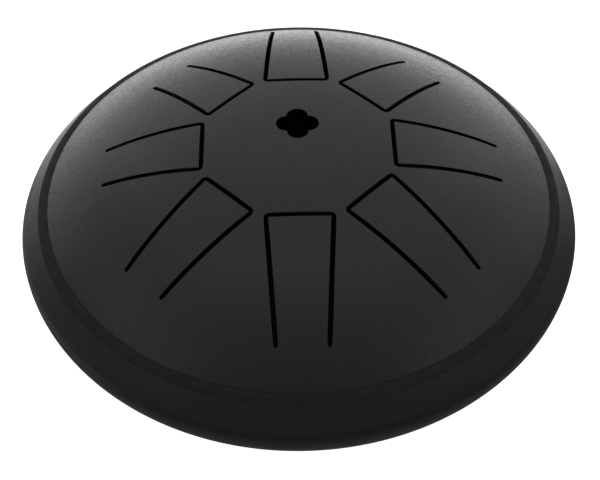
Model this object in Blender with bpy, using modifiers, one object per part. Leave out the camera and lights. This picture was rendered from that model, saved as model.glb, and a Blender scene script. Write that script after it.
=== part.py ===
"""A small steel tongue drum, in metres, +Z up, standing on its three rubber feet at z = 0.

A pressed dome with eight cut tongues sits in a rubber ring, and the ring sits in the rolled rim of
a pressed bowl. The drum's centre line is the Z axis, and +Y is the back, towards the sound hole.
"""

import math

import bmesh
import bpy

# The shells
DRUM_RADIUS = 0.0700
SHOULDER_OVERHANG = 0.00715
SHEET = 0.0012
FIT_GAP = 0.0003

# The dome: flat in the middle, falling ever faster towards its rim
DOME_RADIUS = DRUM_RADIUS - SHOULDER_OVERHANG
DOME_RISE = 0.0172
DOME_POWER = 2.68
DOME_INNER_BEND = 0.0004
SKIRT_DEPTH = 0.0050

# The tongues: each is left standing by one U-shaped slot, wide at its free tip and narrow at its root
TONGUE_TIP_RADIUS = 0.0233
TONGUE_TIP_WIDTH = 0.0158
TONGUE_ROOT_WIDTH = 0.0120
SLOT_WIDTH = 0.0010
SLOT_CORNER = 0.00075
ROOT_INSET_BACK = 0.00465
ROOT_INSET_BACK_LEFT = 0.01690
ROOT_INSET_LEFT = 0.01545
ROOT_INSET_FRONT_LEFT = 0.01200
ROOT_INSET_FRONT = 0.00945
ROOT_INSET_FRONT_RIGHT = 0.01080
ROOT_INSET_RIGHT = 0.01360
ROOT_INSET_BACK_RIGHT = 0.01635

# The sound hole: four half-round lobes, set back from the middle
HOLE_LOBE_RADIUS = 0.00262
HOLE_SETBACK = 0.0059

# The rubber ring between dome and bowl
RING_WIDTH = 0.00105
RING_CROWN = 0.0003
RING_SLOPE_DROP = 0.0006
RING_FOOT_THICKNESS = 0.0015
RING_FOOT_INSET = 0.0007

# The bowl: rolled rim, flared shoulder, rounded corner, straight cone, rounded bend, flat base
LIP_DROP = 0.0010
LIP_ROUND = 0.0006
LEDGE_INSET = 0.0009
SHOULDER_DROP = 0.00806
SHOULDER_RADIUS = 0.0040
CORNER_RADIUS = 0.0107
CONE_SLOPE_DEG = 48.2
BASE_RADIUS = 0.0330
BASE_BEND = 0.0160

# The feet and their fasteners
FOOT_HEIGHT = 0.0070
FOOT_TOP_RADIUS = 0.0065
FOOT_BOTTOM_RADIUS = 0.0058
FOOT_CHAMFER = 0.0005
FOOT_MARGIN = 0.0006
SCREW_RADIUS = 0.0015
SCREW_TIP_CHAMFER = 0.0003
SCREW_SPARE = 0.0009
HEAD_RADIUS = 0.0028
HEAD_HEIGHT = 0.0016
HEAD_ROUND = 0.0006
HEAD_SINK = 0.0006
RECESS_LENGTH = 0.0030
RECESS_WIDTH = 0.0007
RECESS_DEPTH = 0.0009
WASHER_RADIUS = 0.0031
WASHER_THICKNESS = 0.0005
NUT_ACROSS_FLATS = 0.0055
NUT_HEIGHT = 0.0024

# Facets round a turned piece, rings on the dome, and points on each arc
SHELL_STEPS = 72
FOOT_STEPS = 20
SCREW_STEPS = 16
DOME_RINGS = 10
DOME_RING_SPREAD = 0.75
RIM_BEND_POINTS = 4
SLOT_END_POINTS = 6
SLOT_INSIDE_POINTS = 3
SLOT_OUTSIDE_POINTS = 4
LOBE_POINTS = 9
BASE_BEND_POINTS = 6
CORNER_POINTS = 5
SHOULDER_POINTS = 3
LIP_POINTS = 4

# The bowl's heights, from the floor up
CONE_SLOPE = math.radians(CONE_SLOPE_DEG)
BASE_UNDERSIDE = FOOT_HEIGHT + FIT_GAP
BEND_RISE = BASE_BEND * (1 - math.cos(CONE_SLOPE))
CONE_BOTTOM_RADIUS = BASE_RADIUS + BASE_BEND * math.sin(CONE_SLOPE)
CONE_TOP_RADIUS = DRUM_RADIUS - CORNER_RADIUS * (1 - math.sin(CONE_SLOPE))
CONE_RISE = (CONE_TOP_RADIUS - CONE_BOTTOM_RADIUS) * math.tan(CONE_SLOPE)
CORNER_RISE = CORNER_RADIUS * math.cos(CONE_SLOPE)
WIDEST_HEIGHT = BASE_UNDERSIDE + BEND_RISE + CONE_RISE + CORNER_RISE
SEAM_HEIGHT = WIDEST_HEIGHT + SHOULDER_DROP

# Radii and heights where dome, ring and bowl meet
SKIRT_BOTTOM = SEAM_HEIGHT - SKIRT_DEPTH
RING_INNER = DOME_RADIUS + FIT_GAP
RING_OUTER = RING_INNER + RING_WIDTH
RING_SEAT = SKIRT_BOTTOM - FIT_GAP
RING_BOTTOM = RING_SEAT - RING_FOOT_THICKNESS
RING_FOOT_INNER = DOME_RADIUS - SHEET - RING_FOOT_INSET
LIP_INNER = RING_OUTER + FIT_GAP
LEDGE_TOP = RING_BOTTOM - FIT_GAP
LEDGE_INNER = RING_FOOT_INNER - LEDGE_INSET

# Heights and radii in and over a foot, from the floor up
HOLE_RADIUS = SCREW_RADIUS + FIT_GAP
HEAD_TOP = HEAD_SINK + HEAD_HEIGHT
WASHER_BOTTOM = HEAD_TOP + FIT_GAP
WASHER_TOP = WASHER_BOTTOM + WASHER_THICKNESS
POCKET_TOP = WASHER_TOP + FIT_GAP
POCKET_RADIUS = WASHER_RADIUS + FIT_GAP
NUT_BOTTOM = BASE_UNDERSIDE + SHEET + FIT_GAP
SCREW_TOP = NUT_BOTTOM + NUT_HEIGHT + SCREW_SPARE
FOOT_CIRCLE = BASE_RADIUS - FOOT_TOP_RADIUS - FOOT_MARGIN

# Where each tongue points, in degrees anticlockwise from +X seen from above, and how far its root
# lies inside the dome's edge
TONGUES = {
    "back": (90, ROOT_INSET_BACK),
    "back_left": (135, ROOT_INSET_BACK_LEFT),
    "left": (180, ROOT_INSET_LEFT),
    "front_left": (225, ROOT_INSET_FRONT_LEFT),
    "front": (270, ROOT_INSET_FRONT),
    "front_right": (315, ROOT_INSET_FRONT_RIGHT),
    "right": (0, ROOT_INSET_RIGHT),
    "back_right": (45, ROOT_INSET_BACK_RIGHT),
}
FEET = {"front": 270, "back_left": 150, "back_right": 30}


def clear_scene():
    for old in list(bpy.data.objects):
        bpy.data.objects.remove(old)


def collection(name):
    made = bpy.data.collections.new(name)
    bpy.context.scene.collection.children.link(made)
    return made


def move_to(piece, group):
    for holder in list(piece.users_collection):
        holder.objects.unlink(piece)
    group.objects.link(piece)


def material(name, colour, roughness, metallic):
    made = bpy.data.materials.new(name)
    made.use_nodes = True
    shader = made.node_tree.nodes["Principled BSDF"]
    shader.inputs["Base Color"].default_value = (*colour, 1)
    shader.inputs["Roughness"].default_value = roughness
    shader.inputs["Metallic"].default_value = metallic
    return made


def arc(centre, radius, start, end, count):
    """Points on an arc, both ends included, with angles in degrees from the first axis."""
    angles = [math.radians(start + (end - start) * i / (count - 1)) for i in range(count)]
    return [(centre[0] + radius * math.cos(a), centre[1] + radius * math.sin(a)) for a in angles]


def turned(name, section, steps, closed, group):
    """A half section of (radius, height) points, outer side running down, turned round +Z."""
    count = len(section)
    edges = [(i, i + 1) for i in range(count - 1)]
    if closed:
        edges.append((count - 1, 0))
    mesh = bpy.data.meshes.new(name)
    mesh.from_pydata([(radius, 0, height) for radius, height in section], edges, [])
    piece = bpy.data.objects.new(name, mesh)
    group.objects.link(piece)
    screw = piece.modifiers.new("turn", "SCREW")
    screw.steps = steps
    screw.render_steps = steps
    screw.use_merge_vertices = True
    screw.merge_threshold = 0.00001
    return piece


def evaluated_mesh(piece):
    bpy.context.view_layer.update()
    graph = bpy.context.evaluated_depsgraph_get()
    return bpy.data.meshes.new_from_object(piece.evaluated_get(graph))


def settle(piece, look):
    """Applies the modifiers, shades the piece smooth except over its edges, and gives its material."""
    mesh = evaluated_mesh(piece)
    mesh.name = piece.name
    piece.modifiers.clear()
    piece.data = mesh
    mesh.shade_smooth()
    mesh.set_sharp_from_angle(angle=math.radians(30))
    mesh.materials.append(look)


def hide_cutter(solid):
    solid.hide_render = True
    solid.display_type = "WIRE"


def outline_cutter(name, points, low, high, group):
    """A flat closed outline, filled and made thick, from low to high."""
    curve = bpy.data.curves.new(name, "CURVE")
    curve.dimensions = "2D"
    curve.fill_mode = "BOTH"
    curve.extrude = (high - low) / 2
    line = curve.splines.new("POLY")
    line.points.add(len(points) - 1)
    for point, (x, y) in zip(line.points, points):
        point.co = (x, y, 0, 1)
    line.use_cyclic_u = True
    outline = bpy.data.objects.new(name + "_outline", curve)
    outline.location.z = (low + high) / 2
    bpy.context.scene.collection.objects.link(outline)
    mesh = evaluated_mesh(outline)
    weld_caps(mesh)
    cutter = bpy.data.objects.new(name, mesh)
    cutter.matrix_world = outline.matrix_world
    group.objects.link(cutter)
    bpy.data.objects.remove(outline)
    hide_cutter(cutter)
    return cutter


def weld_caps(mesh):
    build = bmesh.new()
    build.from_mesh(mesh)
    bmesh.ops.remove_doubles(build, verts=build.verts, dist=0.000001)
    bmesh.ops.recalc_face_normals(build, faces=build.faces)
    build.to_mesh(mesh)
    build.free()


def drill(name, centre, radius, low, high, group):
    """A round cutter from low to high."""
    bpy.ops.mesh.primitive_cylinder_add(
        vertices=SCREW_STEPS, radius=radius, depth=high - low, location=(*centre, (low + high) / 2)
    )
    tool = bpy.context.object
    tool.name = name
    move_to(tool, group)
    hide_cutter(tool)
    return tool


def boolean(piece, operation, other):
    modifier = piece.modifiers.new(other.name, "BOOLEAN")
    modifier.operation = operation
    modifier.solver = "EXACT"
    modifier.object = other


def dome_height(radius):
    """Height of the dome's outer face above the seam."""
    return DOME_RISE * (1 - (radius / DOME_RADIUS) ** DOME_POWER)


def dome_section():
    """The dome's outer face, from its middle, round the bend at the rim, to the skirt's lower edge."""
    outer_bend = DOME_INNER_BEND + SHEET
    rim_slope = math.degrees(math.atan(DOME_RISE * DOME_POWER / DOME_RADIUS))
    first = 90 - rim_slope
    bend_centre = DOME_RADIUS - outer_bend
    bend_start = bend_centre + outer_bend * math.cos(math.radians(first))
    bend_height = SEAM_HEIGHT + dome_height(bend_start) - outer_bend * math.sin(math.radians(first))
    section = [(0, SEAM_HEIGHT + DOME_RISE)]
    for i in range(1, DOME_RINGS):
        radius = bend_start * (i / DOME_RINGS) ** DOME_RING_SPREAD
        section.append((radius, SEAM_HEIGHT + dome_height(radius)))
    section += arc((bend_centre, bend_height), outer_bend, first, 0, RIM_BEND_POINTS)
    section.append((DOME_RADIUS, SKIRT_BOTTOM))
    return section


def slot_outline(angle, root):
    """The U round one tongue: drawn along +X, one leg and its mirror image, then turned."""
    half_slot = SLOT_WIDTH / 2
    half_tip = TONGUE_TIP_WIDTH / 2
    half_root = TONGUE_ROOT_WIDTH / 2
    lean = math.atan2(half_tip - half_root, root - TONGUE_TIP_RADIUS)
    outward = 90 - math.degrees(lean)
    setback = SLOT_CORNER * math.tan((math.pi / 2 + lean) / 2)
    corner = (TONGUE_TIP_RADIUS + SLOT_CORNER, half_tip - setback)
    leg = arc(corner, SLOT_CORNER - half_slot, 180, outward, SLOT_INSIDE_POINTS)
    leg += arc((root, half_root), half_slot, outward - 180, outward, SLOT_END_POINTS)
    leg += arc(corner, SLOT_CORNER + half_slot, outward, 180, SLOT_OUTSIDE_POINTS)
    outline = leg + [(x, -y) for x, y in reversed(leg)]
    cosine = math.cos(math.radians(angle))
    sine = math.sin(math.radians(angle))
    return [(x * cosine - y * sine, x * sine + y * cosine) for x, y in outline]


def hole_outline():
    """Four half circles that meet in cusps."""
    outline = []
    for angle in (0, 90, 180, 270):
        turn = math.radians(angle)
        centre = (HOLE_LOBE_RADIUS * math.cos(turn), HOLE_SETBACK + HOLE_LOBE_RADIUS * math.sin(turn))
        outline += arc(centre, HOLE_LOBE_RADIUS, angle - 90, angle + 90, LOBE_POINTS)[:-1]
    return outline


def make_top_shell(parts, cutters):
    """The pressed dome, cut into tongues and pierced, with a short skirt down into the ring."""
    shell = turned("top_shell", dome_section(), SHELL_STEPS, False, parts)
    wall = shell.modifiers.new("wall", "SOLIDIFY")
    wall.thickness = SHEET
    wall.offset = -1
    wall.use_even_offset = True
    low = SKIRT_BOTTOM
    high = SEAM_HEIGHT + DOME_RISE + SHEET
    for place, (angle, inset) in TONGUES.items():
        outline = slot_outline(angle, DOME_RADIUS - inset)
        slot = outline_cutter("slot_" + place, outline, low, high, cutters)
        boolean(shell, "DIFFERENCE", slot)
    boolean(shell, "DIFFERENCE", outline_cutter("sound_hole", hole_outline(), low, high, cutters))
    settle(shell, material("black_powder_coat", (0.028, 0.028, 0.029), 0.45, 0.0))


def make_rim_ring(parts):
    """Rubber: an upright leg whose crowned top shows, and a foot in under the dome's skirt."""
    inner_top = SEAM_HEIGHT - FIT_GAP
    outer_top = inner_top - RING_SLOPE_DROP
    crown = ((RING_INNER + RING_OUTER) / 2, (inner_top + outer_top) / 2 + RING_CROWN)
    section = [
        (RING_INNER, inner_top),
        crown,
        (RING_OUTER, outer_top),
        (RING_OUTER, RING_BOTTOM),
        (RING_FOOT_INNER, RING_BOTTOM),
        (RING_FOOT_INNER, RING_SEAT),
        (RING_INNER, RING_SEAT),
    ]
    ring = turned("rim_ring", section, SHELL_STEPS, True, parts)
    settle(ring, material("black_rubber_ring", (0.014, 0.014, 0.014), 0.75, 0.0))


def shared_normal(first, first_radius, second, second_radius):
    """Direction, in degrees, of the normal of the line that touches two circles on their outer side."""
    run, rise = second[0] - first[0], second[1] - first[1]
    between = math.acos((first_radius - second_radius) / math.hypot(run, rise))
    return math.degrees(math.atan2(rise, run) + between)


def bowl_section():
    """From the middle of the base up the inside, over the rolled rim, and down the outside."""
    slope = math.degrees(CONE_SLOPE)
    bend = (BASE_RADIUS, BASE_UNDERSIDE + BASE_BEND)
    corner = (DRUM_RADIUS - CORNER_RADIUS, WIDEST_HEIGHT)
    shoulder = (DRUM_RADIUS - SHOULDER_RADIUS, WIDEST_HEIGHT)
    lip = (LIP_INNER + LIP_ROUND, SEAM_HEIGHT - LIP_DROP - LIP_ROUND)
    flare = shared_normal(lip, LIP_ROUND, shoulder, SHOULDER_RADIUS)
    section = [(0, BASE_UNDERSIDE + SHEET)]
    section += arc(bend, BASE_BEND - SHEET, 270, 270 + slope, BASE_BEND_POINTS)
    section += arc(corner, CORNER_RADIUS - SHEET, slope - 90, 0, CORNER_POINTS)
    section += arc(shoulder, SHOULDER_RADIUS - SHEET, 0, flare, SHOULDER_POINTS)[1:]
    section += rolled_rim(lip, flare)
    section += arc(lip, LIP_ROUND, 180, flare, LIP_POINTS)
    section += arc(shoulder, SHOULDER_RADIUS, flare, 0, SHOULDER_POINTS)
    section += arc(corner, CORNER_RADIUS, 0, slope - 90, CORNER_POINTS)[1:]
    section += arc(bend, BASE_BEND, 270 + slope, 270, BASE_BEND_POINTS)
    section.append((0, BASE_UNDERSIDE))
    return section


def rolled_rim(lip, flare):
    """Inside of the fold, down the upright leg's back, and round the ledge that carries the ring."""
    turn = math.radians(flare)
    leg_back = LIP_INNER + SHEET
    inner_radius = lip[0] + (LIP_ROUND - SHEET) * math.cos(turn)
    inner_height = lip[1] + (LIP_ROUND - SHEET) * math.sin(turn)
    fold_height = inner_height - (leg_back - inner_radius) / math.tan(turn)
    return [
        (leg_back, fold_height),
        (leg_back, LEDGE_TOP - SHEET),
        (LEDGE_INNER, LEDGE_TOP - SHEET),
        (LEDGE_INNER, LEDGE_TOP),
        (LIP_INNER, LEDGE_TOP),
    ]


def foot_place(angle):
    turn = math.radians(angle)
    return (FOOT_CIRCLE * math.cos(turn), FOOT_CIRCLE * math.sin(turn))


def make_bottom_shell(parts, cutters):
    """The pressed bowl, its rim rolled in to a ledge for the ring, its base drilled for the feet."""
    shell = turned("bottom_shell", bowl_section(), SHELL_STEPS, False, parts)
    low = BASE_UNDERSIDE - SHEET
    high = BASE_UNDERSIDE + 2 * SHEET
    for place, angle in FEET.items():
        tool = drill("base_hole_" + place, foot_place(angle), HOLE_RADIUS, low, high, cutters)
        boolean(shell, "DIFFERENCE", tool)
    settle(shell, material("black_satin_paint", (0.024, 0.024, 0.025), 0.4, 0.0))


def make_foot(place, angle, parts, rubber):
    """A tapered rubber foot with a pocket for the screw's head and washer."""
    section = [
        (HOLE_RADIUS, FOOT_HEIGHT),
        (FOOT_TOP_RADIUS, FOOT_HEIGHT),
        (FOOT_BOTTOM_RADIUS, FOOT_CHAMFER),
        (FOOT_BOTTOM_RADIUS - FOOT_CHAMFER, 0),
        (POCKET_RADIUS, 0),
        (POCKET_RADIUS, POCKET_TOP),
        (HOLE_RADIUS, POCKET_TOP),
    ]
    foot = turned("foot_" + place, section, FOOT_STEPS, True, parts)
    foot.location = (*foot_place(angle), 0)
    settle(foot, rubber)


def make_screw(place, angle, parts, cutters, steel):
    """A pan-head screw, pushed up through the washer, the foot and the base."""
    section = [
        (0, SCREW_TOP),
        (SCREW_RADIUS - SCREW_TIP_CHAMFER, SCREW_TOP),
        (SCREW_RADIUS, SCREW_TOP - SCREW_TIP_CHAMFER),
        (SCREW_RADIUS, HEAD_TOP),
        (HEAD_RADIUS, HEAD_TOP),
        (HEAD_RADIUS, HEAD_SINK + HEAD_ROUND),
        (HEAD_RADIUS - HEAD_ROUND, HEAD_SINK),
        (0, HEAD_SINK),
    ]
    screw = turned("foot_screw_" + place, section, SCREW_STEPS, False, parts)
    screw.location = (*foot_place(angle), 0)
    boolean(screw, "DIFFERENCE", cross_recess(place, angle, cutters))
    settle(screw, steel)


def recess_bar(name, angle, length, width, group):
    bpy.ops.mesh.primitive_cube_add(size=1, location=(*foot_place(angle), HEAD_SINK))
    bar = bpy.context.object
    bar.name = name
    bar.scale = (length, width, 2 * RECESS_DEPTH)
    bpy.ops.object.transform_apply(location=False, rotation=False, scale=True)
    move_to(bar, group)
    hide_cutter(bar)
    return bar


def cross_recess(place, angle, group):
    """Two bars joined into the cross that a driver fits."""
    cross = recess_bar("recess_" + place, angle, RECESS_LENGTH, RECESS_WIDTH, group)
    boolean(cross, "UNION", recess_bar("recess_bar_" + place, angle, RECESS_WIDTH, RECESS_LENGTH, group))
    return cross


def make_washer(place, angle, parts, steel):
    """A plain washer between the screw's head and the rubber."""
    section = [
        (HOLE_RADIUS, WASHER_TOP),
        (WASHER_RADIUS, WASHER_TOP),
        (WASHER_RADIUS, WASHER_BOTTOM),
        (HOLE_RADIUS, WASHER_BOTTOM),
    ]
    washer = turned("foot_washer_" + place, section, FOOT_STEPS, True, parts)
    washer.location = (*foot_place(angle), 0)
    settle(washer, steel)


def make_nut(place, angle, parts, cutters, steel):
    """A hexagon nut on the base, inside the bowl."""
    centre = foot_place(angle)
    corner_radius = NUT_ACROSS_FLATS / 2 / math.cos(math.radians(30))
    bpy.ops.mesh.primitive_cylinder_add(
        vertices=6, radius=corner_radius, depth=NUT_HEIGHT, location=(*centre, NUT_BOTTOM + NUT_HEIGHT / 2)
    )
    nut = bpy.context.object
    nut.name = "foot_nut_" + place
    move_to(nut, parts)
    low = NUT_BOTTOM - SHEET
    high = NUT_BOTTOM + NUT_HEIGHT + SHEET
    boolean(nut, "DIFFERENCE", drill("nut_bore_" + place, centre, HOLE_RADIUS, low, high, cutters))
    settle(nut, steel)


def main():
    clear_scene()
    parts = collection("tongue_drum")
    cutters = collection("cutters")
    make_top_shell(parts, cutters)
    make_rim_ring(parts)
    make_bottom_shell(parts, cutters)
    rubber = material("black_rubber_foot", (0.016, 0.016, 0.016), 0.8, 0.0)
    steel = material("zinc_plated_steel", (0.55, 0.56, 0.57), 0.35, 1.0)
    for place, angle in FEET.items():
        make_foot(place, angle, parts, rubber)
        make_screw(place, angle, parts, cutters, steel)
        make_washer(place, angle, parts, steel)
        make_nut(place, angle, parts, cutters, steel)


main()
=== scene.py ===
"""A small steel tongue drum, made piece by piece in the order that it is put together."""
import math

import bpy
from mathutils import Matrix, Vector


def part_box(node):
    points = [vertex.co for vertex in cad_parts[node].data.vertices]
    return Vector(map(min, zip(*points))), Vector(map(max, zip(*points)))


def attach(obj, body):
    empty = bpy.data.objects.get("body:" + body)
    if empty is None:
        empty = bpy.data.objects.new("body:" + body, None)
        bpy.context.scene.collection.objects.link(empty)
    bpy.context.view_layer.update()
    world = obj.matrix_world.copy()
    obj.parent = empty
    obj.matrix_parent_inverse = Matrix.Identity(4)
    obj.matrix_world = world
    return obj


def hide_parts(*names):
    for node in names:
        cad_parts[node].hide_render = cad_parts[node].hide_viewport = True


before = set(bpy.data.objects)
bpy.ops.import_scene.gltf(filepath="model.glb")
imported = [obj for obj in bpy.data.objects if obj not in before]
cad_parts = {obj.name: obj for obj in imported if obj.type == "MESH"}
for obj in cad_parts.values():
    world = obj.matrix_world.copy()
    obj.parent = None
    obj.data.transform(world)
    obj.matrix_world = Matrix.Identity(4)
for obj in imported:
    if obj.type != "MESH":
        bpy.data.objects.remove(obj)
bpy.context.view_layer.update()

# THE BOWL
# One steel sheet, pressed to a cone with a flat base, its edge rolled over and folded in to a
# ledge for the rubber ring. It is drilled for three feet, and painted a satin black.
SHEET = 0.0012
FIT_GAP = 0.0003
DOME_RISE = 0.0172
DOME_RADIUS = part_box("top_shell")[1].x
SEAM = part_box("top_shell")[1].z - DOME_RISE
SKIRT_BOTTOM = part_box("top_shell")[0].z
RING_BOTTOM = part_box("rim_ring")[0].z
BASE_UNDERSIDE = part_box("bottom_shell")[0].z
BOWL_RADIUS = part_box("bottom_shell")[1].x
BASE_RADIUS = 0.0330
BASE_BEND = 0.0160
CONE_SLOPE = 48.2
CORNER_ROUND = 0.0107
SHOULDER_ROUND = 0.0040
SHOULDER_DROP = 0.00806
LIP_ROUND = 0.00025
LIP_DROP = 0.00096
LIP_INNER = DOME_RADIUS + 0.0018
LEDGE_INNER = DOME_RADIUS - 0.0028
LEDGE_TOP = RING_BOTTOM - FIT_GAP
LEDGE_BEND = 0.0006
LEDGE_ROUND = 0.0003
SHELL_STEPS = 240
SAME_POINT = 0.000002
HOLE_RADIUS = 0.0018
DRILL_LENGTH = 0.006
DRILL_STEPS = 48
FOOT_CIRCLE = 0.0259
FOOT_ANGLES = {"front": 270, "back_left": 150, "back_right": 30}


def arc(centre, radius, start, end, count):
    """Points on an arc, both ends included, with angles in degrees from the level."""
    angles = [math.radians(start + (end - start) * i / (count - 1)) for i in range(count)]
    return [(centre[0] + radius * math.cos(a), centre[1] + radius * math.sin(a)) for a in angles]


def work_on(piece):
    """Only this piece is selected and worked on."""
    bpy.ops.object.select_all(action="DESELECT")
    piece.select_set(True)
    bpy.context.view_layer.objects.active = piece


def pick(piece, test):
    """Opens a piece for editing with only the points selected whose place passes the test."""
    bpy.ops.object.mode_set(mode="EDIT")
    bpy.ops.mesh.select_mode(type="VERT")
    bpy.ops.mesh.select_all(action="DESELECT")
    bpy.ops.object.mode_set(mode="OBJECT")
    for point in piece.data.vertices:
        point.select = test(point.co)
    bpy.ops.object.mode_set(mode="EDIT")


def spun(name, section, steps):
    """A half section of (radius, height) points, turned once round the centre line."""
    bpy.ops.object.select_all(action="DESELECT")
    bpy.ops.mesh.primitive_circle_add(vertices=len(section), radius=0.01)
    piece = bpy.context.object
    piece.name = name
    for point, (radius, height) in zip(piece.data.vertices, section):
        point.co = (radius, 0, height)
    pick(piece, lambda place: place.x == 0)
    bpy.ops.mesh.delete(type="EDGE_FACE")
    bpy.ops.mesh.select_all(action="SELECT")
    bpy.ops.mesh.spin(steps=steps, angle=2 * math.pi, center=(0, 0, 0), axis=(0, 0, 1))
    bpy.ops.mesh.select_all(action="SELECT")
    bpy.ops.mesh.remove_doubles(threshold=SAME_POINT)
    bpy.ops.mesh.normals_make_consistent(inside=False)
    bpy.ops.object.mode_set(mode="OBJECT")
    return piece


def cut(piece, tool, way="DIFFERENCE"):
    """Takes the tool's shape out of a piece, or does as told with it, and puts the tool away."""
    work_on(piece)
    bpy.ops.object.modifier_add(type="BOOLEAN")
    piece.modifiers[-1].operation = way
    piece.modifiers[-1].solver = "EXACT"
    piece.modifiers[-1].object = tool
    bpy.ops.object.modifier_apply(modifier=piece.modifiers[-1].name)
    bpy.data.objects.remove(tool)


def mottled(name, dark, light, smooth, rough, mottle, layers, metal=0.0, shine=0.5):
    """A finish whose colour and gloss wander over patches of a size, with layers of fine relief."""
    made = bpy.data.materials.new(name)
    made.use_nodes = True
    nodes = made.node_tree.nodes
    links = made.node_tree.links
    shader = nodes["Principled BSDF"]
    shader.inputs["Metallic"].default_value = metal
    shader.inputs["Specular IOR Level"].default_value = shine
    place = nodes.new("ShaderNodeTexCoord")

    def noise(size, detail):
        texture = nodes.new("ShaderNodeTexNoise")
        texture.inputs["Scale"].default_value = 1 / size
        texture.inputs["Detail"].default_value = detail
        links.new(place.outputs["Object"], texture.inputs["Vector"])
        return texture.outputs[0]

    patches = noise(mottle, 3)
    colour = nodes.new("ShaderNodeMix")
    colour.data_type = "RGBA"
    colour.inputs["A"].default_value = (*dark, 1)
    colour.inputs["B"].default_value = (*light, 1)
    links.new(patches, colour.inputs["Factor"])
    links.new(colour.outputs["Result"], shader.inputs["Base Color"])
    gloss = nodes.new("ShaderNodeMapRange")
    gloss.inputs["From Min"].default_value = 0.3
    gloss.inputs["From Max"].default_value = 0.7
    gloss.inputs["To Min"].default_value = smooth
    gloss.inputs["To Max"].default_value = rough
    links.new(noise(mottle / 3, 2), gloss.inputs["Value"])
    links.new(gloss.outputs["Result"], shader.inputs["Roughness"])
    relief = None
    for size, height, detail in layers:
        bump = nodes.new("ShaderNodeBump")
        bump.inputs["Distance"].default_value = height
        links.new(noise(size, detail), bump.inputs["Height"])
        if relief:
            links.new(relief.outputs["Normal"], bump.inputs["Normal"])
        relief = bump
    links.new(relief.outputs["Normal"], shader.inputs["Normal"])
    return made


def fit(piece, node, finish, edge=35):
    """Smooths a finished piece except over its edges, coats it, and puts it in its node's place."""
    work_on(piece)
    bpy.ops.object.shade_smooth_by_angle(angle=math.radians(edge))
    piece.data.materials.clear()
    piece.data.materials.append(finish)
    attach(piece, "root")
    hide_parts(node)


def shared_normal(first, first_radius, second, second_radius):
    """Direction, in degrees, square to the line that touches two circles on their outer side."""
    run, rise = second[0] - first[0], second[1] - first[1]
    between = math.acos((first_radius - second_radius) / math.hypot(run, rise))
    return math.degrees(math.atan2(rise, run) + between)


def bowl_section():
    """From the middle of the base up the inside, over the rolled rim, and down the outside."""
    widest = SEAM - SHOULDER_DROP
    bend = (BASE_RADIUS, BASE_UNDERSIDE + BASE_BEND)
    corner = (BOWL_RADIUS - CORNER_ROUND, widest)
    shoulder = (BOWL_RADIUS - SHOULDER_ROUND, widest)
    lip = (LIP_INNER + LIP_ROUND, SEAM - LIP_DROP - LIP_ROUND)
    flare = shared_normal(lip, LIP_ROUND, shoulder, SHOULDER_ROUND)
    turn = math.radians(flare)
    leg_back = LIP_INNER + SHEET
    fold_radius = lip[0] + (LIP_ROUND - SHEET) * math.cos(turn)
    fold_height = lip[1] + (LIP_ROUND - SHEET) * math.sin(turn)
    fold_height -= (leg_back - fold_radius) / math.tan(turn)
    section = [(0, BASE_UNDERSIDE + SHEET)]
    section += arc(bend, BASE_BEND - SHEET, 270, 270 + CONE_SLOPE, 16)
    section += arc(corner, CORNER_ROUND - SHEET, CONE_SLOPE - 90, 0, 12)
    section += arc(shoulder, SHOULDER_ROUND - SHEET, 0, flare, 8)[1:]
    ledge_bend = (leg_back - LEDGE_BEND, LEDGE_TOP - SHEET + LEDGE_BEND)
    section += [(leg_back, fold_height), (leg_back, ledge_bend[1])]
    section += arc(ledge_bend, LEDGE_BEND, 0, -90, 5)[1:]
    ledge_edge = LEDGE_INNER + LEDGE_ROUND
    section += arc((ledge_edge, LEDGE_TOP - SHEET + LEDGE_ROUND), LEDGE_ROUND, 270, 180, 4)
    section += arc((ledge_edge, LEDGE_TOP - LEDGE_ROUND), LEDGE_ROUND, 180, 90, 4)
    section.append((LIP_INNER, LEDGE_TOP))
    section += arc(lip, LIP_ROUND, 180, flare, 9)
    section += arc(shoulder, SHOULDER_ROUND, flare, 0, 12)
    section += arc(corner, CORNER_ROUND, 0, CONE_SLOPE - 90, 20)[1:]
    section += arc(bend, BASE_BEND, 270 + CONE_SLOPE, 270, 24)
    section.append((0, BASE_UNDERSIDE))
    return section


def foot_place(angle):
    """Where a foot's centre line stands."""
    turn = math.radians(angle)
    return (FOOT_CIRCLE * math.cos(turn), FOOT_CIRCLE * math.sin(turn))


satin_paint = mottled(
    "black_satin_paint", dark=(0.0110, 0.0110, 0.0115), light=(0.0140, 0.0140, 0.0145),
    smooth=0.34, rough=0.42, mottle=0.012,
    layers=[(0.0030, 0.000006, 2), (0.00045, 0.0000012, 2)],
)
bowl = spun("bowl_sheet", bowl_section(), SHELL_STEPS)
for place, angle in FOOT_ANGLES.items():
    bpy.ops.mesh.primitive_cylinder_add(
        vertices=DRILL_STEPS, radius=HOLE_RADIUS, depth=DRILL_LENGTH,
        location=(*foot_place(angle), BASE_UNDERSIDE),
    )
    bpy.ops.object.transform_apply()
    cut(bowl, bpy.context.object)
fit(bowl, "bottom_shell", satin_paint)

# THE FEET
# Three moulded black rubber feet, tapered, with rounded edges and a pocket for the screw's head.
# Each is screwed under the flat base.
FOOT_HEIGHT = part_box("foot_front")[1].z
FOOT_TOP_RADIUS = 0.0065
FOOT_TOP_ROUND = 0.0004
FOOT_BOTTOM_RADIUS = 0.0058
FOOT_BOTTOM_ROUND = 0.0008
POCKET_RADIUS = 0.0034
POCKET_ROUND = 0.0002
POCKET_TOP = 0.0033
FOOT_STEPS = 96


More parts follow.
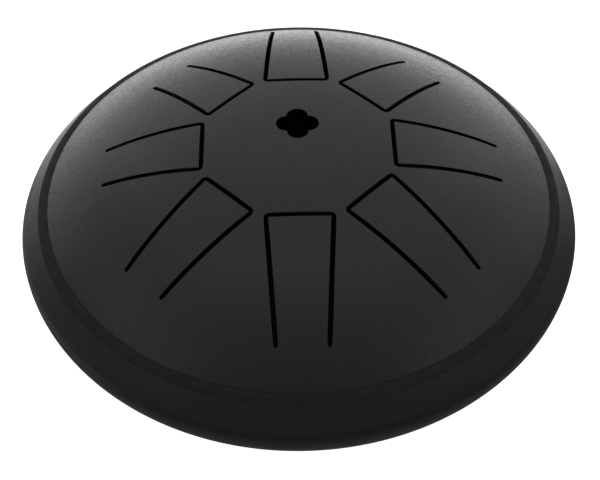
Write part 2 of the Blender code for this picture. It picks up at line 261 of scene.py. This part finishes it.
def placed(model, name, angle):
    """A copy of a small piece, with its own mesh, over one of the three foot places."""
    work_on(model)
    bpy.ops.object.duplicate()
    piece = bpy.context.object
    piece.name = name
    bpy.ops.object.mode_set(mode="EDIT")
    bpy.ops.mesh.select_all(action="SELECT")
    bpy.ops.transform.translate(value=(*foot_place(angle), 0))
    bpy.ops.object.mode_set(mode="OBJECT")
    return piece


def foot_section():
    """Over the top, down the taper, round the sole, and up in the pocket."""
    top = (FOOT_TOP_RADIUS - FOOT_TOP_ROUND, FOOT_HEIGHT - FOOT_TOP_ROUND)
    sole = (FOOT_BOTTOM_RADIUS - FOOT_BOTTOM_ROUND, FOOT_BOTTOM_ROUND)
    section = [(HOLE_RADIUS, FOOT_HEIGHT)]
    section += arc(top, FOOT_TOP_ROUND, 90, 0, 5)
    section += arc(sole, FOOT_BOTTOM_ROUND, 0, -90, 7)
    section += arc((POCKET_RADIUS + POCKET_ROUND, POCKET_ROUND), POCKET_ROUND, 270, 180, 4)
    section += [(POCKET_RADIUS, POCKET_TOP), (HOLE_RADIUS, POCKET_TOP)]
    return section


foot_rubber = mottled(
    "black_foot_rubber", dark=(0.012, 0.012, 0.012), light=(0.017, 0.017, 0.017),
    smooth=0.62, rough=0.78, mottle=0.004, layers=[(0.0004, 0.000006, 3)],
)
foot_model = spun("foot_model", foot_section(), FOOT_STEPS)
for place, angle in FOOT_ANGLES.items():
    foot = placed(foot_model, "foot_rubber_" + place, angle)
    fit(foot, "foot_" + place, foot_rubber)
bpy.data.objects.remove(foot_model)

# THE FASTENERS
# Zinc-plated M3 pan-head screws with a cross recess, pushed up through a washer, the foot and the
# base into a hexagon nut inside the bowl.
TURNED_STEPS = 64
SCREW_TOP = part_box("foot_screw_front")[1].z
SCREW_RADIUS = 0.0015
SCREW_TIP = 0.0003
PLAIN_SHANK = 0.0012
THREAD_PITCH = 0.0005
THREAD_DEPTH = 0.00028
HEAD_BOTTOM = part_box("foot_screw_front")[0].z
HEAD_TOP = HEAD_BOTTOM + 0.0016
HEAD_RADIUS = 0.0028
HEAD_TOP_ROUND = 0.0001
HEAD_BOTTOM_ROUND = 0.0006
RECESS_LENGTH = 0.0030
RECESS_WIDTH = 0.0007
RECESS_HEIGHT = 0.0018
RECESS_TAPER = 0.75
WASHER_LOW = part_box("foot_washer_front")[0].z
WASHER_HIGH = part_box("foot_washer_front")[1].z
WASHER_RADIUS = 0.0031
WASHER_ROUND = 0.00012
NUT_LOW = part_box("foot_nut_front")[0].z
NUT_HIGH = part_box("foot_nut_front")[1].z
NUT_STEPS = 96
NUT_FLAT = 0.00275
NUT_CORNER = NUT_FLAT + 0.0006
NUT_CHAMFER = 0.00035
NUT_MOUTH = 0.0002
HEXAGON_LENGTH = 0.01


def screw_section():
    """From the tip down the thread, round the pan head, to the middle of its face."""
    section = [(0, SCREW_TOP), (SCREW_RADIUS - SCREW_TIP, SCREW_TOP)]
    height = SCREW_TOP - SCREW_TIP
    while height > HEAD_TOP + PLAIN_SHANK:
        section.append((SCREW_RADIUS, height))
        section.append((SCREW_RADIUS - THREAD_DEPTH, height - THREAD_PITCH / 2))
        height -= THREAD_PITCH
    section += [(SCREW_RADIUS, height), (SCREW_RADIUS, HEAD_TOP)]
    top = (HEAD_RADIUS - HEAD_TOP_ROUND, HEAD_TOP - HEAD_TOP_ROUND)
    section += arc(top, HEAD_TOP_ROUND, 90, 0, 3)
    bottom = (HEAD_RADIUS - HEAD_BOTTOM_ROUND, HEAD_BOTTOM + HEAD_BOTTOM_ROUND)
    section += arc(bottom, HEAD_BOTTOM_ROUND, 0, -90, 7)
    section.append((0, HEAD_BOTTOM))
    return section


def washer_section():
    """Round both rims, and through the hole."""
    rim = WASHER_RADIUS - WASHER_ROUND
    section = arc((rim, WASHER_HIGH - WASHER_ROUND), WASHER_ROUND, 90, 0, 4)
    section += arc((rim, WASHER_LOW + WASHER_ROUND), WASHER_ROUND, 0, -90, 4)
    section += [(HOLE_RADIUS, WASHER_LOW), (HOLE_RADIUS, WASHER_HIGH)]
    return section


def nut_section():
    """Over the top, down past the corners with both chamfers, and up through the hole."""
    mouth = HOLE_RADIUS + NUT_MOUTH
    section = [(mouth, NUT_HIGH), (NUT_FLAT, NUT_HIGH), (NUT_CORNER, NUT_HIGH - NUT_CHAMFER)]
    section += [(NUT_CORNER, NUT_LOW + NUT_CHAMFER), (NUT_FLAT, NUT_LOW), (mouth, NUT_LOW)]
    section += [(HOLE_RADIUS, NUT_LOW + NUT_MOUTH), (HOLE_RADIUS, NUT_HIGH - NUT_MOUTH)]
    return section


zinc = mottled(
    "zinc_plated_steel", dark=(0.50, 0.51, 0.52), light=(0.60, 0.61, 0.62),
    smooth=0.26, rough=0.40, mottle=0.0015, layers=[(0.0006, 0.000002, 3)], metal=1.0,
)
screw_model = spun("screw_model", screw_section(), TURNED_STEPS)
for length, width in ((RECESS_LENGTH, RECESS_WIDTH), (RECESS_WIDTH, RECESS_LENGTH)):
    bpy.ops.mesh.primitive_cube_add(
        size=1, location=(0, 0, HEAD_BOTTOM), scale=(length, width, RECESS_HEIGHT)
    )
    bpy.ops.object.transform_apply()
    recess = bpy.context.object
    pick(recess, lambda place: place.z > HEAD_BOTTOM)
    taper = (RECESS_TAPER, RECESS_TAPER, 1)
    bpy.ops.transform.resize(value=taper, center_override=(0, 0, HEAD_BOTTOM))
    bpy.ops.object.mode_set(mode="OBJECT")
    cut(screw_model, recess)
washer_model = spun("washer_model", washer_section(), TURNED_STEPS)
nut_model = spun("nut_model", nut_section(), NUT_STEPS)
bpy.ops.mesh.primitive_cylinder_add(
    vertices=6, radius=NUT_FLAT / math.cos(math.radians(30)), depth=HEXAGON_LENGTH,
    location=(0, 0, NUT_LOW),
)
bpy.ops.object.transform_apply()
cut(nut_model, bpy.context.object, "INTERSECT")
for place, angle in FOOT_ANGLES.items():
    screw = placed(screw_model, "screw_" + place, angle)
    fit(screw, "foot_screw_" + place, zinc)
    washer = placed(washer_model, "washer_" + place, angle)
    fit(washer, "foot_washer_" + place, zinc)
    nut = placed(nut_model, "nut_" + place, angle)
    fit(nut, "foot_nut_" + place, zinc, edge=25)
for model in (screw_model, washer_model, nut_model):
    bpy.data.objects.remove(model)

# THE RUBBER RING
# Moulded in matt black rubber and pressed down on the bowl's ledge. Its foot reaches in under the
# dome's skirt, its inner side lies on the dome's fold, and its crowned top laps the bowl's lip.
DOME_POWER = 2.68
OUTER_BEND = 0.0012
RING_SIDE_GAP = 0.00003
RING_INNER = DOME_RADIUS + RING_SIDE_GAP
RING_OUTER = LIP_INNER + LIP_ROUND + 0.00021
RING_TOP = SEAM + 0.00008
RING_EDGE = SEAM - 0.00102
RING_CROWN = 0.00015
RING_CROWN_STEPS = 10
LAP_THICKNESS = 0.0001
LAP_TAPER = 0.00002
LAP_DEPTH = 0.0005
RING_SEAT = SKIRT_BOTTOM - FIT_GAP
RING_FOOT_INNER = DOME_RADIUS - SHEET - 0.0007


def dome_height(radius):
    """How far the dome stands above the seam at a radius."""
    return DOME_RISE * (1 - (radius / DOME_RADIUS) ** DOME_POWER)


def dome_slope(radius):
    """The angle at which the dome falls at a radius."""
    steepness = DOME_RISE * DOME_POWER / DOME_RADIUS
    return math.atan(steepness * (radius / DOME_RADIUS) ** (DOME_POWER - 1))


rim_angle = 90 - math.degrees(dome_slope(DOME_RADIUS))
bend_centre = DOME_RADIUS - OUTER_BEND
bend_start = bend_centre + OUTER_BEND * math.cos(math.radians(rim_angle))
bend_height = SEAM + dome_height(bend_start) - OUTER_BEND * math.sin(math.radians(rim_angle))


def ring_section():
    """Up along the dome's folded edge, over the top, down the outside, and in under the skirt."""
    reach = OUTER_BEND + RING_SIDE_GAP
    climb = math.asin((RING_TOP - bend_height) / reach)
    top_inner = bend_centre + reach * math.cos(climb)
    section = arc((bend_centre, bend_height), reach, 0, math.degrees(climb), 6)[:-1]
    for i in range(RING_CROWN_STEPS + 1):
        across = i / RING_CROWN_STEPS
        crown = RING_CROWN * (1 - (2 * across - 1) ** 2)
        radius = top_inner + (RING_OUTER - top_inner) * across
        section.append((radius, RING_TOP + (RING_EDGE - RING_TOP) * across + crown))
    section.append((RING_OUTER - LAP_TAPER, RING_EDGE - LAP_THICKNESS))
    section.append((LIP_INNER, RING_EDGE - LAP_DEPTH))
    section += [(LIP_INNER, RING_BOTTOM), (RING_FOOT_INNER, RING_BOTTOM)]
    section += [(RING_FOOT_INNER, RING_SEAT), (RING_INNER, RING_SEAT)]
    return section


ring_rubber = mottled(
    "black_ring_rubber", dark=(0.0125, 0.0125, 0.0125), light=(0.0175, 0.0175, 0.0175),
    smooth=0.70, rough=0.85, mottle=0.006, layers=[(0.0005, 0.000008, 3)], shine=0.35,
)
ring = spun("ring_rubber", ring_section(), SHELL_STEPS)
fit(ring, "rim_ring", ring_rubber)

# THE DOME
# One steel sheet, cut while flat with eight U-shaped slots that leave the tongues standing, and a
# four-lobed sound hole. It is then pressed to a dome with a short skirt, and powder coated black.
EDGE_START = DOME_RADIUS - 0.0007
EDGE_POINTS = EDGE_START - 0.00001
EDGE_WALL = EDGE_START - 0.0005
EDGE_UPRIGHT = 0.5
SQUARE_START = 0.0577
INNER_BEND = 0.0001
SKIRT_ROUND = 0.0003
TIP_RADIUS = 0.0233
TIP_WIDTH = 0.0158
ROOT_WIDTH = 0.0120
SLOT_WIDTH = 0.0010
SLOT_CORNER = 0.00075
SHARPEST_CORNER = 0.00002
EDGE_ROUND = 0.00013
EDGE_ROUND_TURNS = (30, 60, 90)
TOOL_REACH = 0.001
TOOL_LIFT = 0.00001
HOLE_LOBE = 0.00262
HOLE_SETBACK = 0.0059
DOME_RINGS = 64
SAME_POINT_CUT = 0.000004
# Upright faces inside this radius, the walls of the slots and hole, take a painted shade
PAINTED_SHADE_REACH = 0.058
PAINTED_SHADE_UPRIGHT = 0.3
# Each tongue's direction in degrees, and the radius at which the slots beside it end
TONGUES = {
    "back": (90, 0.0582),
    "back_left": (135, 0.04595),
    "left": (180, 0.0474),
    "front_left": (225, 0.05085),
    "front": (270, 0.0534),
    "front_right": (315, 0.05205),
    "right": (0, 0.04925),
    "back_right": (45, 0.0465),
}


def slot_line(angle, root, wider):
    """The edge of the U round one tongue, drawn along +X and turned to its place."""
    half_slot = SLOT_WIDTH / 2 + wider
    half_tip = TIP_WIDTH / 2
    lean = math.atan2(half_tip - ROOT_WIDTH / 2, root - TIP_RADIUS)
    outward = 90 - math.degrees(lean)
    setback = SLOT_CORNER * math.tan((math.pi / 2 + lean) / 2)
    corner = (TIP_RADIUS + SLOT_CORNER, half_tip - setback)
    inside = max(SLOT_CORNER - half_slot, SHARPEST_CORNER)
    leg = arc(corner, inside, 180, outward, 5)
    leg += arc((root, ROOT_WIDTH / 2), half_slot, outward - 180, outward, 13)
    leg += arc(corner, SLOT_CORNER + half_slot, outward, 180, 9)
    line = leg + [(x, -y) for x, y in reversed(leg)]
    cosine, sine = math.cos(math.radians(angle)), math.sin(math.radians(angle))
    return [(x * cosine - y * sine, x * sine + y * cosine) for x, y in line]


def hole_line(wider):
    """Four lobes that meet in cusps, set back from the middle."""
    line = []
    radius = HOLE_LOBE + wider
    meet = (HOLE_LOBE + math.sqrt(2 * radius**2 - HOLE_LOBE**2)) / 2
    reach = math.degrees(math.atan2(meet, meet - HOLE_LOBE))
    for angle in (0, 90, 180, 270):
        turn = math.radians(angle)
        centre = (HOLE_LOBE * math.cos(turn), HOLE_SETBACK + HOLE_LOBE * math.sin(turn))
        line += arc(centre, radius, angle - reach, angle + reach, 25)[:-1]
    return line


def move_points(piece, before, after, height):
    """Moves each selected point from its place on one line to the same place on the next."""
    for point in piece.data.vertices:
        if point.select:
            away = [math.hypot(point.co.x - x, point.co.y - y) for x, y in before]
            point.co = (*after[away.index(min(away))], height)


def slot_tool(name, line_at):
    """A cutter as thick as the sheet and more, flared at both faces to leave rounded edges."""
    levels = [(TOOL_REACH, EDGE_ROUND), (TOOL_LIFT, EDGE_ROUND)]
    for turn in map(math.radians, EDGE_ROUND_TURNS):
        levels.append((-EDGE_ROUND * (1 - math.cos(turn)), EDGE_ROUND * (1 - math.sin(turn))))
    levels += [(-SHEET - height, wider) for height, wider in reversed(levels)]
    bpy.ops.object.select_all(action="DESELECT")
    bpy.ops.mesh.primitive_circle_add(vertices=len(line_at(0)), radius=0.01, fill_type="NGON")
    tool = bpy.context.object
    tool.name = name
    line = [tuple(point.co.xy) for point in tool.data.vertices]
    for height, wider in levels:
        move_points(tool, line, line_at(wider), height)
        line = line_at(wider)
        if height > levels[-1][0]:
            bpy.ops.object.mode_set(mode="EDIT")
            bpy.ops.mesh.extrude_region_move()
            bpy.ops.object.mode_set(mode="OBJECT")
    return tool


bpy.ops.object.select_all(action="DESELECT")
bpy.ops.mesh.primitive_circle_add(vertices=SHELL_STEPS, radius=EDGE_START, fill_type="NGON")
dome = bpy.context.object
dome.name = "dome_sheet"
bpy.ops.object.mode_set(mode="EDIT")
bpy.ops.mesh.select_mode(type="FACE")
bpy.ops.mesh.select_all(action="SELECT")
for i in range(DOME_RINGS - 1):
    bpy.ops.mesh.inset(thickness=EDGE_START / DOME_RINGS, use_even_offset=True)
bpy.ops.mesh.poke()
bpy.ops.object.mode_set(mode="OBJECT")
bpy.ops.object.modifier_add(type="SOLIDIFY")
dome.modifiers[-1].thickness = SHEET
dome.modifiers[-1].offset = -1
bpy.ops.object.modifier_apply(modifier=dome.modifiers[-1].name)

tools = [slot_tool("hole_tool", hole_line)]
for place, (angle, root) in TONGUES.items():
    tools.append(slot_tool("slot_tool_" + place, lambda wider: slot_line(angle, root, wider)))
work_on(tools[0])
for tool in tools:
    tool.select_set(True)
bpy.ops.object.join()
bpy.ops.object.mode_set(mode="EDIT")
bpy.ops.mesh.select_all(action="SELECT")
bpy.ops.mesh.normals_make_consistent(inside=False)
bpy.ops.object.mode_set(mode="OBJECT")
cut(dome, tools[0])
bpy.ops.object.mode_set(mode="EDIT")
bpy.ops.mesh.select_all(action="SELECT")
bpy.ops.mesh.remove_doubles(threshold=SAME_POINT_CUT)
bpy.ops.mesh.select_all(action="DESELECT")
bpy.ops.mesh.select_mode(type="FACE")
bpy.ops.mesh.select_face_by_sides(number=4, type="GREATER")
bpy.ops.mesh.quads_convert_to_tris(quad_method="BEAUTY", ngon_method="BEAUTY")
bpy.ops.mesh.select_all(action="DESELECT")
bpy.ops.object.mode_set(mode="OBJECT")

# The flat sheet's outer wall comes off, to be drawn round the bend later
for face in dome.data.polygons:
    face.select = abs(face.normal.z) < EDGE_UPRIGHT and math.hypot(*face.center.xy) > EDGE_WALL
bpy.ops.object.mode_set(mode="EDIT")
bpy.ops.mesh.delete(type="FACE")
bpy.ops.object.mode_set(mode="OBJECT")

# Pressing: each point of the flat sheet goes on to the dome. The walls of slots and hole stay
# upright, and past the slots the sheet keeps its thickness square to the slope, up to the fold
for point in dome.data.vertices:
    radius = math.hypot(point.co.x, point.co.y)
    slope = dome_slope(radius)
    lean = min(max((radius - SQUARE_START) / (EDGE_START - SQUARE_START), 0), 1)
    depth = point.co.z
    inward = 1 + lean * depth * math.sin(slope) / max(radius, 0.001)
    fall = depth / math.cos(slope) * (1 - lean * math.sin(slope) ** 2)
    point.co = (point.co.x * inward, point.co.y * inward, SEAM + dome_height(radius) + fall)


def run_edge(path):
    """Draws the selected round edge on from ring to ring, each a radius and a height."""
    for (radius, height), (next_radius, next_height) in zip(path, path[1:]):
        grow = next_radius / radius
        bpy.ops.mesh.extrude_edges_move()
        bpy.ops.transform.resize(value=(grow, grow, 1), center_override=(0, 0, 0))
        bpy.ops.transform.translate(value=(0, 0, next_height - height))


outer_rim = [(EDGE_START, SEAM + dome_height(EDGE_START))]
outer_rim += arc((bend_centre, bend_height), OUTER_BEND, rim_angle, 0, 8)
hem = SKIRT_BOTTOM + SKIRT_ROUND
skirt = [(DOME_RADIUS, hem)]
skirt += arc((DOME_RADIUS - SKIRT_ROUND, hem), SKIRT_ROUND, 0, -90, 4)[1:]
skirt += arc((DOME_RADIUS - SHEET + SKIRT_ROUND, hem), SKIRT_ROUND, 270, 180, 4)
edge_slope = dome_slope(EDGE_START)
inner_end = (
    EDGE_START - SHEET * math.sin(edge_slope),
    SEAM + dome_height(EDGE_START) - SHEET * math.cos(edge_slope),
)
fold_radius = DOME_RADIUS - SHEET - INNER_BEND * (1 - math.sin(edge_slope))
fold_height = inner_end[1] - (fold_radius - inner_end[0]) * math.tan(edge_slope)
fold_centre = (DOME_RADIUS - SHEET - INNER_BEND, fold_height - INNER_BEND * math.cos(edge_slope))
inner_rim = arc(fold_centre, INNER_BEND, 0, 90 - math.degrees(edge_slope), 4)
inner_rim.append(inner_end)
pick(dome, lambda place: math.hypot(place.x, place.y) > EDGE_POINTS)
bpy.ops.mesh.select_mode(type="EDGE")
run_edge(outer_rim + skirt + inner_rim)
bpy.ops.mesh.select_mode(type="VERT")
bpy.ops.mesh.select_all(action="SELECT")
bpy.ops.mesh.remove_doubles(threshold=SAME_POINT_CUT)
bpy.ops.mesh.normals_make_consistent(inside=False)
bpy.ops.object.mode_set(mode="OBJECT")
powder_coat = mottled(
    "black_powder_coat", dark=(0.0095, 0.0095, 0.0098), light=(0.0125, 0.0125, 0.0128),
    smooth=0.22, rough=0.30, mottle=0.006,
    layers=[(0.0016, 0.000006, 2), (0.00027, 0.00007, 1)],
)
# Painted shade: a near-black, dull finish that stands in for the shade inside the slots and hole,
# where the real walls carry the same powder coat
slot_painted_shade = mottled(
    "painted_shade_in_the_slots", dark=(0.0015, 0.0015, 0.0015), light=(0.0025, 0.0025, 0.0025),
    smooth=0.90, rough=0.95, mottle=0.002, layers=[(0.0003, 0.000010, 2)], shine=0.0,
)
fit(dome, "top_shell", powder_coat, edge=12)
# The upright walls of the slots and hole get the painted shade in place of the powder coat
dome.data.materials.append(slot_painted_shade)
for face in dome.data.polygons:
    if abs(face.normal.z) < PAINTED_SHADE_UPRIGHT and math.hypot(*face.center.xy) < PAINTED_SHADE_REACH:
        face.material_index = 1

# THE TABLE, THE LIGHT AND THE CAMERA
# A white table with no edge in view, a tall bank of soft lights behind and above, weaker ones at
# the sides and in front, flat lamps for the lit table's glow, and a camera that looks down at it.
TABLE_SIZE = 6
bpy.ops.mesh.primitive_plane_add(size=TABLE_SIZE)
table = bpy.context.object
table.name = "table_top"
table_white = mottled(
    "table_white", dark=(0.80, 0.80, 0.80), light=(0.84, 0.84, 0.84),
    smooth=0.85, rough=0.95, mottle=0.4, layers=[(0.02, 0.00002, 2)], shine=0.1,
)
glow = table_white.node_tree.nodes["Principled BSDF"]
glow.inputs["Emission Color"].default_value = (1, 1, 1, 1)
glow.inputs["Emission Strength"].default_value = 1.0
table.data.materials.append(table_white)
table.visible_glossy = False
table.visible_diffuse = False

LIGHT_AIM = Vector((0, 0, 0.055))
LIGHT_AWAY = 1.5
# Each light's turn from the back and its climb in degrees, its width and height, its brightness
LIGHTS = {
    "back_light_1": (0, 4, 2.2, 0.22, 0.70),
    "back_light_2": (0, 13, 2.2, 0.24, 0.50),
    "back_light_3": (0, 23, 2.2, 0.26, 0.76),
    "back_light_4": (0, 36, 2.2, 0.40, 0.62),
    "back_light_5": (0, 52, 2.2, 0.40, 0.36),
    "back_light_6": (0, 70, 2.2, 0.55, 0.40),
    "back_light_left": (30, 8, 0.7, 0.40, 0.08),
    "back_light_right": (-30, 8, 0.7, 0.40, 0.14),
    "overhead_light": (0, 86, 2.2, 0.40, 0.53),
    "front_light": (180, 70, 2.2, 0.90, 0.20),
    "front_light_low": (180, 22, 2.2, 0.80, 0.06),
    "left_back_light_low": (52, 12, 0.9, 0.40, 0.72),
    "left_back_light_high": (58, 34, 1.1, 0.60, 0.30),
    "left_light_low": (100, 7, 1.2, 0.30, 0.13),
    "left_light": (105, 38, 1.2, 0.45, 0.59),
    "right_back_light_low": (-52, 15, 0.9, 0.40, 0.74),
    "right_back_light_high": (-58, 34, 1.1, 0.60, 0.40),
    "right_light_low": (-95, 9, 1.2, 0.35, 0.14),
    "right_light": (-105, 38, 1.2, 0.45, 0.60),
}
GLOW_HEIGHT = 0.003
# Each glow's place to the right and to the back, its width and depth, its brightness
GLOWS = {
    "table_glow_far": (-0.50, 1.10, 2.6, 1.0, 1.60),
    "table_glow_near": (0, 0.29, 0.8, 0.24, 1.45),
    "table_glow_close": (0, 0.135, 0.27, 0.09, 1.25),
    "table_glow_left": (-0.22, 0.07, 0.20, 0.40, 0.26),
}


def soft_light(name, place, turned, width, height, brightness):
    """A flat lamp of a width and height, unseen by the camera."""
    lamp = bpy.data.lights.new(name, "AREA")
    lamp.shape = "RECTANGLE"
    lamp.size = width
    lamp.size_y = height
    lamp.energy = math.pi * width * height * brightness
    holder = bpy.data.objects.new(name, lamp)
    bpy.context.scene.collection.objects.link(holder)
    holder.location = place
    holder.rotation_euler = turned
    holder.visible_camera = False


for name, (turn, climb, width, height, brightness) in LIGHTS.items():
    turn, climb = math.radians(turn), math.radians(climb)
    level = math.cos(climb)
    aside = Vector((-math.sin(turn) * level, math.cos(turn) * level, math.sin(climb)))
    facing = (-aside).to_track_quat("-Z", "Y").to_euler()
    soft_light(name, LIGHT_AIM + LIGHT_AWAY * aside, facing, width, height, brightness)
for name, (across, away, width, depth, brightness) in GLOWS.items():
    soft_light(name, (across, away, GLOW_HEIGHT), (math.pi, 0, 0), width, depth, brightness)

ROOM_LIGHT = 0.15
world = bpy.data.worlds.new("studio")
bpy.context.scene.world = world
world.use_nodes = True
world.node_tree.nodes["Background"].inputs["Color"].default_value = (1, 1, 1, 1)
world.node_tree.nodes["Background"].inputs["Strength"].default_value = ROOM_LIGHT
bpy.context.scene.view_settings.view_transform = "Standard"

LENS = 78.647
ELEVATION = 0.8410030
DISTANCE = 0.32923
ACROSS = 0.000273
DOWN = 0.012763
TURN = -0.0122357
ROLL = 0.0100083
right = Vector((1, 0, 0))
up = Vector((0, math.sin(ELEVATION), math.cos(ELEVATION)))
back = right.cross(up)
place = Vector((0, 0, SEAM)) + DISTANCE * back + ACROSS * right - DOWN * up
rolled = Matrix((right, up, back)).transposed() @ Matrix.Rotation(-ROLL, 3, "Z")
camera = bpy.data.objects.new("camera", bpy.data.cameras.new("camera"))
bpy.context.scene.collection.objects.link(camera)
camera.data.lens = LENS
camera.data.sensor_width = 36
camera.data.clip_start = 0.01
camera.matrix_world = Matrix.Rotation(TURN, 4, "Z") @ (Matrix.Translation(place) @ rolled.to_4x4())
bpy.context.scene.camera = camera
